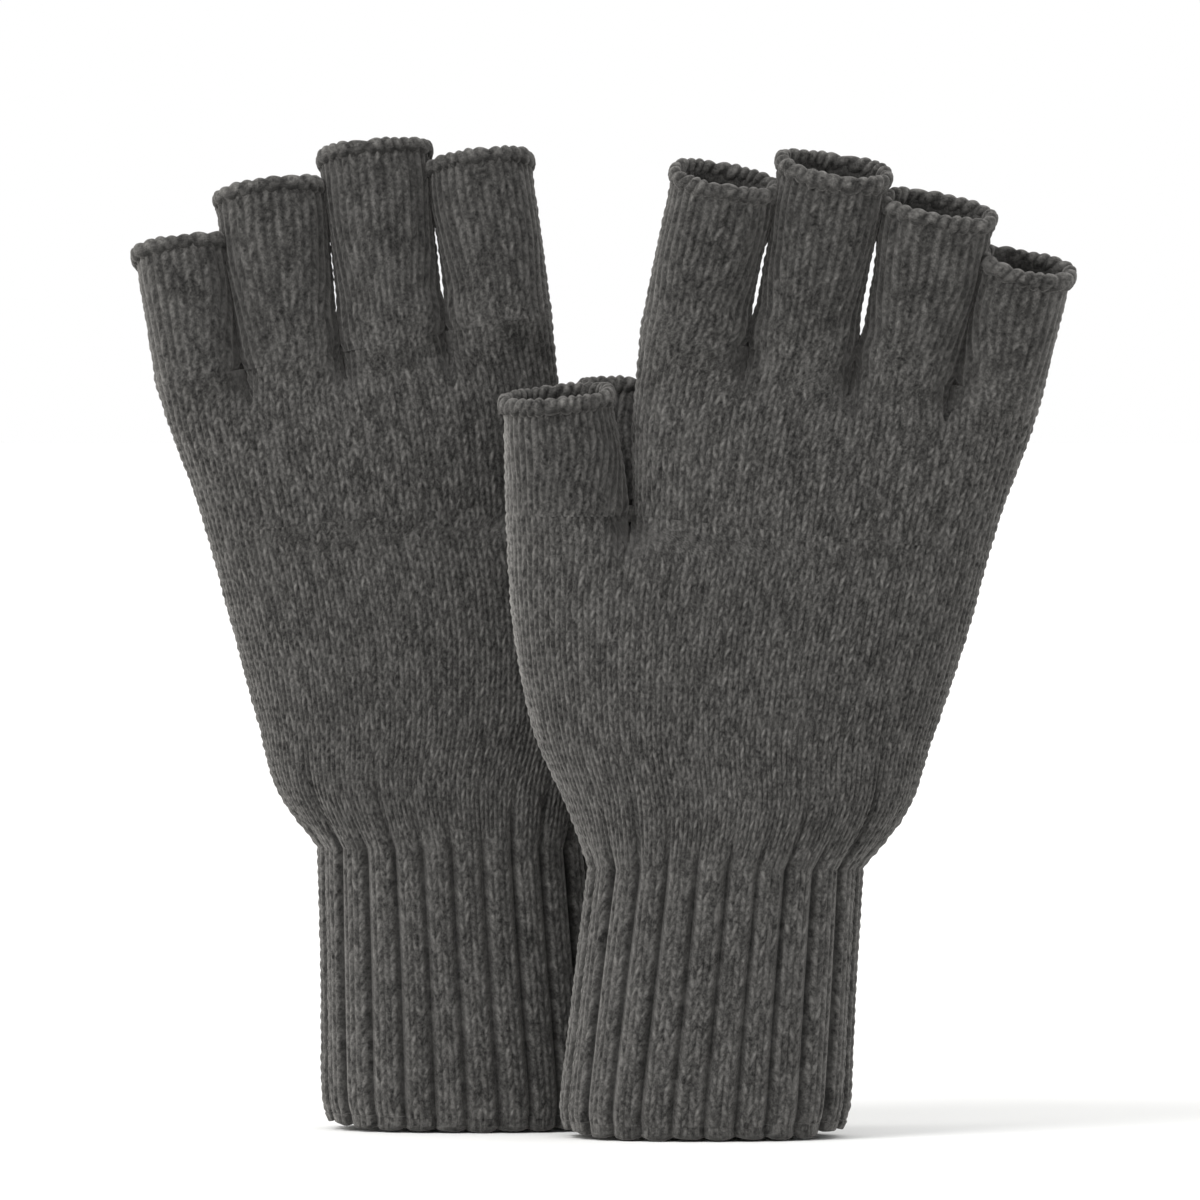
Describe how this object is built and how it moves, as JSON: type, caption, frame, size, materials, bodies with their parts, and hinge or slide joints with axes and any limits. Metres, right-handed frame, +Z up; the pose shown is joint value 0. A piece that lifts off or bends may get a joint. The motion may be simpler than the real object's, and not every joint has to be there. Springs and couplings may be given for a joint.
{
  "type": "fingerless gloves",
  "caption": "Pair of knitted fingerless gloves with open finger and thumb stalls, rolled rims and long ribbed cuffs.",
  "frame": {"origin": "middle of the pair's bounding box, on the surface that the cuffs stand on", "axes": "+Z up towards the fingers; -Y is the pictured side, where the left glove shows its back and the right glove, in front, its palm; +X to the right as pictured"},
  "size_m": [0.2105, 0.0752, 0.2222],
  "materials": {
    "jersey_knit": "heathered charcoal wool, plain jersey knit, matt with a soft fuzz",
    "rib_knit": "heathered charcoal wool, two-by-two rib knit, matt with a soft fuzz",
    "edge_yarn": "heathered charcoal wool, cast-off and tacking stitches, matt",
    "elastic": "dark covered elastic thread, matt"
  },
  "bodies": {
    "left_hand": {"left_lower_hand": "jersey_knit", "left_upper_hand": "jersey_knit", "left_fork_tacks": "edge_yarn"},
    "left_cuff": {"left_cuff": "rib_knit", "left_cuff_hem": "edge_yarn", "left_cuff_elastic": "elastic"},
    "left_index": {"left_index_stall": "jersey_knit", "left_index_rim": "edge_yarn"},
    "left_middle": {"left_middle_stall": "jersey_knit", "left_middle_rim": "edge_yarn"},
    "left_ring": {"left_ring_stall": "jersey_knit", "left_ring_rim": "edge_yarn"},
    "left_little": {"left_little_stall": "jersey_knit", "left_little_rim": "edge_yarn"},
    "left_thumb": {"left_thumb_stall": "jersey_knit", "left_thumb_rim": "edge_yarn"},
    "right_hand": {"right_lower_hand": "jersey_knit", "right_upper_hand": "jersey_knit", "right_fork_tacks": "edge_yarn"},
    "right_cuff": {"right_cuff": "rib_knit", "right_cuff_hem": "edge_yarn", "right_cuff_elastic": "elastic"},
    "right_index": {"right_index_stall": "jersey_knit", "right_index_rim": "edge_yarn"},
    "right_middle": {"right_middle_stall": "jersey_knit", "right_middle_rim": "edge_yarn"},
    "right_ring": {"right_ring_stall": "jersey_knit", "right_ring_rim": "edge_yarn"},
    "right_little": {"right_little_stall": "jersey_knit", "right_little_rim": "edge_yarn"},
    "right_thumb": {"right_thumb_stall": "jersey_knit", "right_thumb_rim": "edge_yarn"}
  },
  "joints": [
    {"name": "left_wrist_fold", "type": "hinge", "parent": "left_hand", "child": "left_cuff", "pos_m": [-0.0326, 0.0355, 0.06285], "axis": [1, 0, 0], "range_deg": [0, 60]},
    {"name": "left_index_bend", "type": "hinge", "parent": "left_hand", "child": "left_index", "pos_m": [-0.02219, 0.0265, 0.18045], "axis": [-0.9833, 0, -0.1822], "range_deg": [0, 80]},
    {"name": "left_middle_bend", "type": "hinge", "parent": "left_hand", "child": "left_middle", "pos_m": [-0.04603, 0.0265, 0.17603], "axis": [-0.9833, 0, -0.1822], "range_deg": [0, 80]},
    {"name": "left_ring_bend", "type": "hinge", "parent": "left_hand", "child": "left_ring", "pos_m": [-0.06889, 0.0265, 0.1718], "axis": [-0.9833, 0, -0.1822], "range_deg": [0, 80]},
    {"name": "left_little_bend", "type": "hinge", "parent": "left_hand", "child": "left_little", "pos_m": [-0.09003, 0.0265, 0.16788], "axis": [-0.9833, 0, -0.1822], "range_deg": [0, 80]},
    {"name": "left_thumb_bend", "type": "hinge", "parent": "left_hand", "child": "left_thumb", "pos_m": [0.0058, 0.0285, 0.14115], "axis": [-1, 0, 0], "range_deg": [0, 60]},
    {"name": "right_lift_off", "type": "slide", "parent": "left_hand", "child": "right_hand", "axis": [0, 0, 1], "range_m": [0, 0.15]},
    {"name": "right_wrist_fold", "type": "hinge", "parent": "right_hand", "child": "right_cuff", "pos_m": [0.0277, -0.0355, 0.05935], "axis": [-1, 0, 0], "range_deg": [0, 60]},
    {"name": "right_index_bend", "type": "hinge", "parent": "right_hand", "child": "right_index", "pos_m": [0.02049, -0.0265, 0.17695], "axis": [0.9833, 0, -0.1822], "range_deg": [0, 80]},
    {"name": "right_middle_bend", "type": "hinge", "parent": "right_hand", "child": "right_middle", "pos_m": [0.04433, -0.0265, 0.17253], "axis": [0.9833, 0, -0.1822], "range_deg": [0, 80]},
    {"name": "right_ring_bend", "type": "hinge", "parent": "right_hand", "child": "right_ring", "pos_m": [0.06719, -0.0265, 0.1683], "axis": [0.9833, 0, -0.1822], "range_deg": [0, 80]},
    {"name": "right_little_bend", "type": "hinge", "parent": "right_hand", "child": "right_little", "pos_m": [0.08833, -0.0265, 0.16438], "axis": [0.9833, 0, -0.1822], "range_deg": [0, 80]},
    {"name": "right_thumb_bend", "type": "hinge", "parent": "right_hand", "child": "right_thumb", "pos_m": [-0.0075, -0.0285, 0.13765], "axis": [1, 0, 0], "range_deg": [0, 60]}
  ]
}
